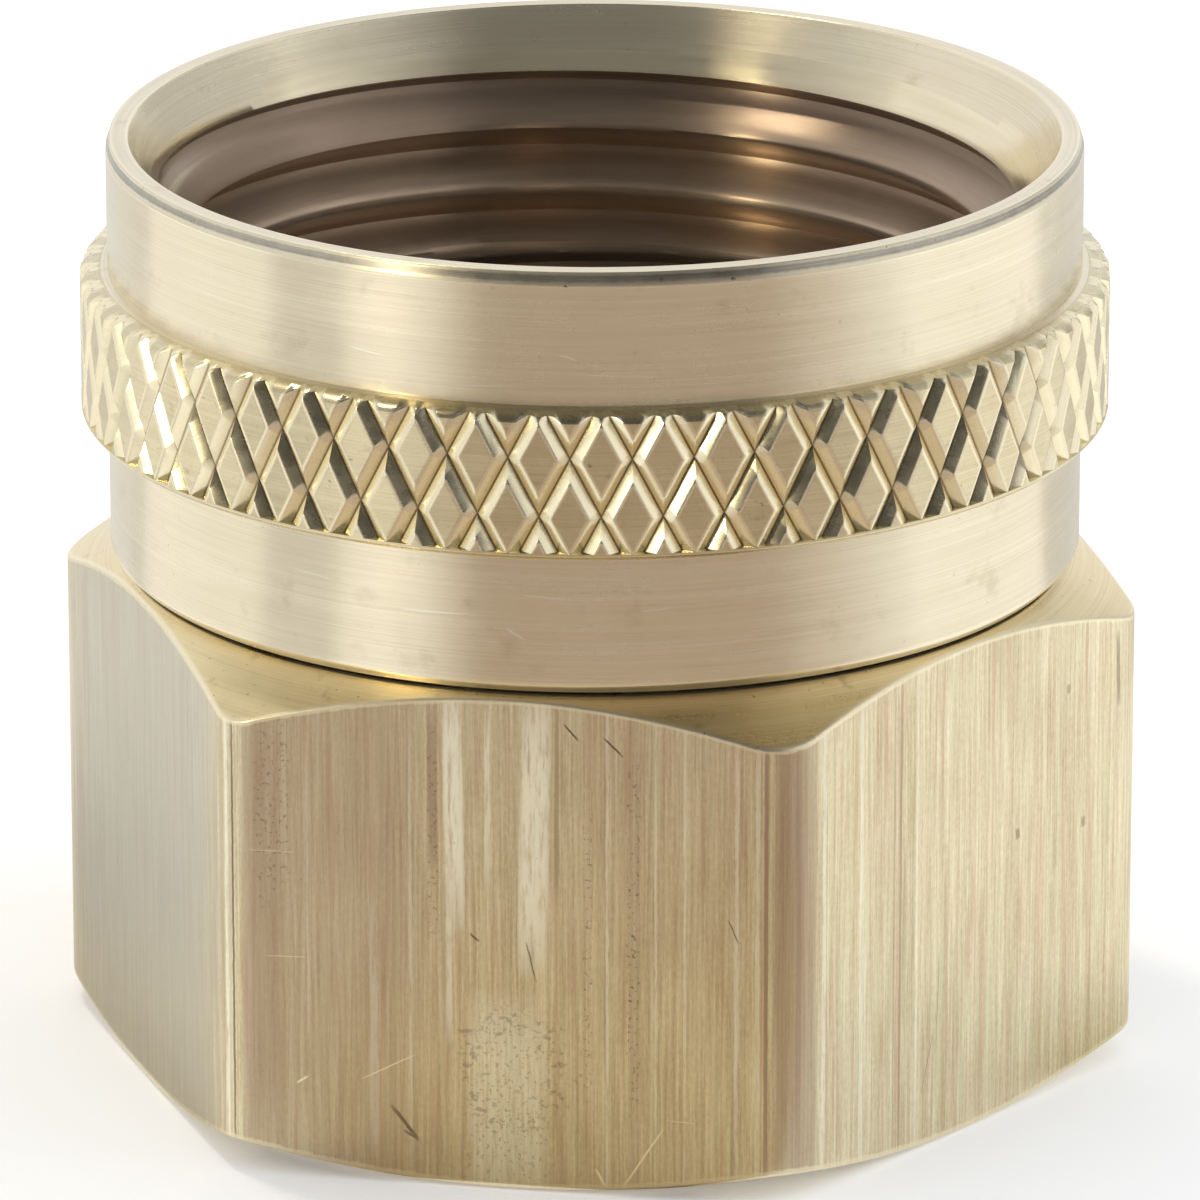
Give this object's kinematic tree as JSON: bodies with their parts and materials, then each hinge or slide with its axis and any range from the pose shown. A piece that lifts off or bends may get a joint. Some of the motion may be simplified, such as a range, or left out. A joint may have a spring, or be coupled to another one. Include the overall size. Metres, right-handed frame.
{
  "type": "swivel pipe union",
  "caption": "Brass swivel pipe union: hexagon body with a female pipe thread below and a knurled female hose-thread nut that turns on the body's neck above.",
  "frame": {"origin": "centre of the hexagon body's flat bottom face, on the common axis", "axes": "+Z along the common axis, from the pipe thread towards the hose thread; two flats of the hexagon face -Y and +Y"},
  "size_m": [0.0342, 0.0322, 0.0295],
  "materials": {
    "body_brass": "drawn hexagon bar with fine lengthwise die lines",
    "nut_brass": "turned, with a diamond knurl round the collar",
    "ring_steel": "plain stainless spring steel",
    "washer_rubber": "matte moulded rubber"
  },
  "bodies": {
    "body": {"hex_body": "body_brass", "retaining_ring": "ring_steel", "hose_washer": "washer_rubber"},
    "nut": {"swivel_nut": "nut_brass"}
  },
  "joints": [
    {"name": "nut_swivel", "type": "hinge", "parent": "body", "child": "nut", "pos_m": [0, 0, 0.0168], "axis": [0, 0, 1], "continuous": true}
  ]
}
